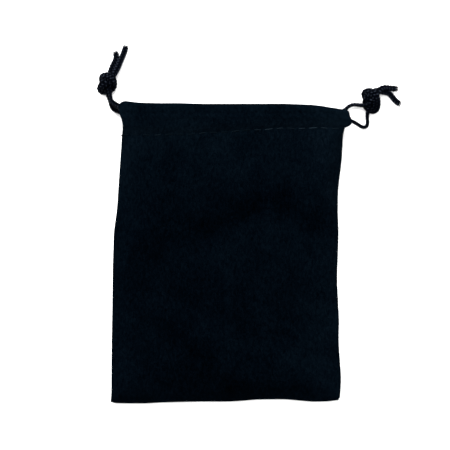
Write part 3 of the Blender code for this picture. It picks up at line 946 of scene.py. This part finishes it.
def braided_cord(name, path):
    """The cord's object and its length."""
    sides = frames_along(path)
    verts, uvs, crowns = [], [], []
    steps = [0.0] + [(q - p).length for p, q in zip(path, path[1:])]
    length = sum(steps)
    travelled = 0.0
    for centre, (side, up), step in zip(path, sides, steps):
        travelled += step
        wider, flatter = slackness(centre, min(travelled, length - travelled))
        # Painted shade of the knots' lower halves, taken off the yarn's tone below.
        painted_shade_amount = painted_shade(centre)
        for k in range(BRAID_SIDES):
            angle = 2 * pi * k / BRAID_SIDES
            height = braid_height(angle, travelled)
            radius = BRAID_RADIUS - BRAID_DEPTH * (1 - height)
            spoke = side * (radius * cos(angle)) + up * (radius * sin(angle))
            point = centre + Vector((spoke.x * wider, spoke.y * wider, spoke.z * flatter))
            point.z = max(point.z, 0.0)
            verts.append(point)
            uvs.append((k / BRAID_SIDES, travelled / PATTERN_LENGTH))
            # Painted highlight on the crowns and painted shade between the crossings, less the painted shade
            # of the knots.
            crowns.append(height - painted_shade_amount)
    faces = tube_faces(0, len(path), BRAID_SIDES)
    add_fray(verts, faces, uvs, path, sides)
    crowns += [FRAY_CROWN] * (len(verts) - len(crowns))
    item = painted_object(name, verts, faces, "yarn", uvs, "crown", crowns, CORD_MATERIAL)
    return item, length


def add_fray(verts, faces, uvs, path, sides):
    """Loose yarn ends at both cut ends."""
    first = (path[0], path[FRAY_INWARD], sides[0])
    last = (path[-1], path[-1 - FRAY_INWARD], sides[-1])
    for end, inner, (side, up) in (first, last):
        outward = (end - inner).normalized()
        for k in range(FRAY_YARNS):
            angle = 2 * pi * k / FRAY_YARNS + 0.4 * sin(3.1 * k)
            spoke = side * cos(angle) + up * sin(angle)
            spread = (0.2 + 0.4 * abs(sin(2.3 * k + 1))) * MM
            reach = (0.5 + 0.8 * abs(sin(1.7 * k + 0.5))) * MM
            line = []
            for t in (0.0, 0.35, 0.7, 1.0):
                point = end - outward * FRAY_ROOT + spoke * (FRAY_RING + spread * t * t) + outward * reach * t
                point.z = max(point.z, FRAY_RADIUS)
                line.append(point)
            thin_tube(verts, faces, uvs, line, FRAY_RADIUS, FRAY_SIDES)


def thin_tube(verts, faces, uvs, line, radius, count):
    """Add a closed tube along the line, tapered to its ends."""
    faces += tube_faces(len(verts), len(line), count)
    for i, (centre, (side, up)) in enumerate(zip(line, frames_along(line))):
        size = radius * (0.55 if i in (0, len(line) - 1) else 1.0)
        for k in range(count):
            angle = 2 * pi * k / count
            verts.append(centre + side * (size * cos(angle)) + up * (size * sin(angle)))
            uvs.append((k / count, i * 0.1))


def tube_faces(first, rings, sides):
    """Faces of a closed tube, whose rings of vertices are numbered from first on."""
    faces = []
    for i in range(rings - 1):
        a, b = first + i * sides, first + (i + 1) * sides
        for k in range(sides):
            after = (k + 1) % sides
            faces.append((a + k, a + after, b + after, b + k))
    last = first + (rings - 1) * sides
    faces.append(tuple(range(first, first + sides))[::-1])
    faces.append(tuple(range(last, last + sides)))
    return faces


def declare_cord(nodes):
    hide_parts(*nodes)


def left_drawstring():
    """Tail, knot, front casing, turn at the right, back casing, knot, tail."""
    front, back = side_by_side(LEFT_KNOT)
    front, back = pull_tight(
        [
            thread_through(LEFT_FRONT_NECK, front, LEFT_TAIL_LONG),
            thread_through(LEFT_BACK_NECK, back, LEFT_TAIL_SHORT),
        ]
    )
    near, far, turn = -43, 46, 47.9  # along x, in millimetres
    casing = straight(near, far, UPPER_STRAND_Y, FRONT_STRAND_Z)
    casing += turn_back(turn, 1, UPPER_STRAND_Y, LOWER_STRAND_Y, pi)
    casing += straight(far, near, LOWER_STRAND_Y, BACK_STRAND_Z)
    path = cord_path(np.concatenate([front[::-1], casing, back]), lambda x: x < -46 * MM)
    item, length = braided_cord("left_drawstring_cord", path)
    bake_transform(item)
    nodes = (
        "left_cord_loop",
        "left_cord_front_end",
        "left_cord_back_end",
        "left_knot",
        "left_tail_short",
        "left_tail_long",
    )
    declare_cord(nodes)


def right_drawstring():
    """Tail, knot, front casing, turn at the left, back casing, knot, tail."""
    back, front = side_by_side(RIGHT_KNOT)
    back, front = pull_tight(
        [
            thread_through(RIGHT_BACK_NECK, back, RIGHT_TAIL_UPPER),
            thread_through(RIGHT_FRONT_NECK, front, RIGHT_TAIL_LOWER),
        ]
    )
    near, far, turn = 45, -41, -43.7  # along x, in millimetres
    casing = straight(near, far, LOWER_STRAND_Y, FRONT_STRAND_Z)
    casing += turn_back(turn, -1, LOWER_STRAND_Y, UPPER_STRAND_Y, 0.75 * pi)
    casing += straight(far, near, UPPER_STRAND_Y, BACK_STRAND_Z)
    path = cord_path(np.concatenate([front[::-1], casing, back]), lambda x: x > 47 * MM)
    item, length = braided_cord("right_drawstring_cord", path)
    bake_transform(item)
    nodes = (
        "right_cord_loop",
        "right_cord_front_end",
        "right_cord_back_end",
        "right_knot",
        "right_tail_upper",
        "right_tail_lower",
    )
    declare_cord(nodes)


# ---------------------------------------------------------------- stitches and seam allowances

THREAD_SIDES = 8
STITCHES_PER_HALF = 10
SEAM_THREAD_RADIUS = 0.17 * MM
SEAM_PITCH = 2.9 * MM
SEAM_STITCH_HALF = 1.0 * MM
SEAM_STITCH_DIP = 0.15 * MM
SIDE_SEAM_INSET = 0.35 * MM
BOTTOM_SEAM_INSET = 0.3 * MM

ALLOWANCE_INSET = 1.6 * MM  # from the bag's edge to where the spare cloth starts
ALLOWANCE_WIDTH = 5.7 * MM
ALLOWANCE_COLUMNS = 9
ALLOWANCE_ROW = 2 * MM  # what one row takes of the cloth's pattern
ALLOWANCE_Z = 0.95 * MM
ALLOWANCE_RISE = 0.35 * MM
ALLOWANCE_WAVE = 0.18 * MM
ALLOWANCE_LAYER = 1.8 * CLOTH


def thread_piece(name, lines, radius, replaced, place):
    """Thread whose tone differs from stitch to stitch and grows paler towards the right."""
    verts, faces, uvs, crowns = [], [], [], []
    for k, line in enumerate(lines):
        thin_tube(verts, faces, uvs, [Vector(p) for p in line], radius, THREAD_SIDES)
        pale = 0.68 + 0.09 * eased(line[0][0], -20 * MM, 30 * MM) + 0.045 * sin(4.7 * k)
        crowns += [pale] * (len(verts) - len(crowns))
    item = painted_object(name, verts, faces, "yarn", uvs, "crown", crowns, THREAD_MATERIAL)
    sew_on(item, place)
    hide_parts(replaced)


def casing_stitches(side, back):
    """Running stitch along the casing: each dash rises out of the cloth, lies on it and dives in again."""
    face = "back" if back else "front"
    outer_z = back_outer_z if back else front_outer_z
    away = -1 if back else 1
    lines = []
    for k in range(-STITCHES_PER_HALF, 0) if side == "left" else range(STITCHES_PER_HALF):
        middle = (k + 0.5) * STITCH_PITCH
        half_length = (1.75 + 0.2 * sin(2.9 * k)) * MM
        line = []
        for t in (-1.0, -0.85, -0.5, 0.0, 0.5, 0.85, 1.0):
            x = middle + t * half_length
            y = stitch_y(x) + 0.16 * MM * sin(1.9 * k + 1.2 * t)
            lift = THREAD_RADIUS * (0.9 - 4.0 * max(abs(t) - 0.5, 0.0))
            line.append((x, y, outer_z(x, y) + away * lift))
        lines.append(line)
    thread_piece(face + "_casing_stitches_" + side, lines, THREAD_RADIUS, face + "_casing_thread", side)


def seam_lines(start, stop, point_at):
    """Short stitches along a seam: point_at turns a distance along it into x and y."""
    lines = []
    middle = start
    while middle < stop:
        line = []
        for t in (-1.0, -0.6, 0.0, 0.6, 1.0):
            line.append((*point_at(middle + t * SEAM_STITCH_HALF), SEAM_Z - SEAM_STITCH_DIP * abs(t)))
        lines.append(line)
        middle += SEAM_PITCH
    return lines


def side_seam_point(side, y):
    return (left_x(y) + SIDE_SEAM_INSET if side == "left" else right_x(y) - SIDE_SEAM_INSET), y


def seam_stitches(side):
    lines = seam_lines(-64 * MM, 46 * MM, lambda y: side_seam_point(side, y))
    thread_piece(side + "_seam_stitches", lines, SEAM_THREAD_RADIUS, side + "_seam_thread", side)


def bottom_stitches():
    lines = seam_lines(-50 * MM, 46 * MM, lambda x: (x, bottom_y(x) + BOTTOM_SEAM_INSET))
    thread_piece("bottom_seam_stitches", lines, SEAM_THREAD_RADIUS, "bottom_seam_thread", "bag")


def allowance(name, start_points, inward, replaced, place):
    """Spare cloth inside a seam, two layers side by side, wavy along its cut edge."""
    rows = len(start_points)
    verts, flat = [], []
    for layer in (0, 1):
        for i, (x, y) in enumerate(start_points):
            for j in range(ALLOWANCE_COLUMNS):
                t = j / (ALLOWANCE_COLUMNS - 1)
                out = t * ALLOWANCE_WIDTH
                rise = (ALLOWANCE_WAVE * sin(i * 0.9) + ALLOWANCE_RISE) * t**2
                z = ALLOWANCE_Z + rise + layer * ALLOWANCE_LAYER
                verts.append((x + inward[0] * out, y + inward[1] * out, z))
                flat.append((i * ALLOWANCE_ROW / PATTERN_SIZE, out / PATTERN_SIZE))
    faces = two_layer_faces(rows, ALLOWANCE_COLUMNS)
    item = cloth_object(name, verts, faces, flat, [0.0] * len(verts))
    sew_on(item, place)
    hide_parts(replaced)


def spaced(start, length, steps):
    return [(start + length * k / steps) * MM for k in range(steps + 1)]


def seam_allowances():
    ys = spaced(-58.8, 108.0, 44)
    xs = spaced(-50.6, 97.0, 40)
    left = [(left_x(y) + ALLOWANCE_INSET, y) for y in ys]
    right = [(right_x(y) - ALLOWANCE_INSET, y) for y in ys]
    bottom = [(x, bottom_y(x) + ALLOWANCE_INSET) for x in xs]
    allowance("left_allowance", left[::-1], (1, 0), "left_seam_allowance", "left")
    allowance("right_allowance", right, (-1, 0), "right_seam_allowance", "right")
    allowance("bottom_allowance", bottom, (0, 1), "bottom_seam_allowance", "bag")


# ---------------------------------------------------------------- studio

# Name, place, size in metres and power in watts.
LAMPS = [
    ("key_light", (-0.25, 0.85, 0.85), 0.9, 39.0),
    ("fill_light", (0.6, -0.3, 0.9), 0.9, 3.0),
]
FLOOR_SIZE = 3.0
FLOOR_Z = -0.2 * MM
FOCAL_LENGTH = 200
SENSOR_WIDTH = 36
VIEW_WIDTH = 200.5 * MM
VIEW_CENTRE = (-2.2 * MM, 11.9 * MM)


def studio():
    bpy.ops.mesh.primitive_plane_add(size=FLOOR_SIZE, location=(0, 0, FLOOR_Z))
    floor = bpy.context.object
    floor.name = "studio_floor"
    paper, nodes, _ = material("white_paper")
    shader = nodes["Principled BSDF"]
    shader.inputs["Base Color"].default_value = (0.95, 0.95, 0.95, 1.0)
    shader.inputs["Roughness"].default_value = 1.0
    shader.inputs["Specular IOR Level"].default_value = 0.0
    floor.data.materials.append(paper)
    world = bpy.data.worlds.new("soft_sky")
    bpy.context.scene.world = world
    world.use_nodes = True
    sky = world.node_tree.nodes["Background"]
    sky.inputs["Color"].default_value = (1.0, 1.0, 1.0, 1.0)
    sky.inputs["Strength"].default_value = 1.3
    for name, place, size, power in LAMPS:
        lamp = bpy.data.lights.new(name, "AREA")
        lamp.size = size
        lamp.energy = power
        lit = bpy.data.objects.new(name, lamp)
        lit.location = place
        lit.rotation_euler = (-Vector(place)).to_track_quat("-Z", "Y").to_euler()
        bpy.context.scene.collection.objects.link(lit)
    bpy.context.scene.view_settings.view_transform = "Standard"


def camera():
    """Straight down on the bag, from far enough that heights hardly show."""
    lens = bpy.data.cameras.new("camera")
    lens.lens = FOCAL_LENGTH
    lens.sensor_width = SENSOR_WIDTH
    view = bpy.data.objects.new("camera", lens)
    view.location = (*VIEW_CENTRE, VIEW_WIDTH * FOCAL_LENGTH / SENSOR_WIDTH)
    bpy.context.scene.collection.objects.link(view)
    bpy.context.scene.camera = view


CLOTH_MATERIAL = cloth_material()
CORD_MATERIAL = yarn_material("braided_cord", (0.0001, 0.0003, 0.0009), (0.0155, 0.0195, 0.0285), 26.0)
THREAD_MATERIAL = yarn_material("sewing_thread", (0.0008, 0.0020, 0.0032), (0.0110, 0.0180, 0.0250), 18.0)

camera()
left_drawstring()
right_drawstring()
for side in ("left", "right"):
    cloth_half("front_cloth_" + side, side, False)
    cloth_half("back_cloth_" + side, side, True)
    casing_stitches(side, False)
    casing_stitches(side, True)
    seam_stitches(side)
bottom_stitches()
seam_allowances()
studio()
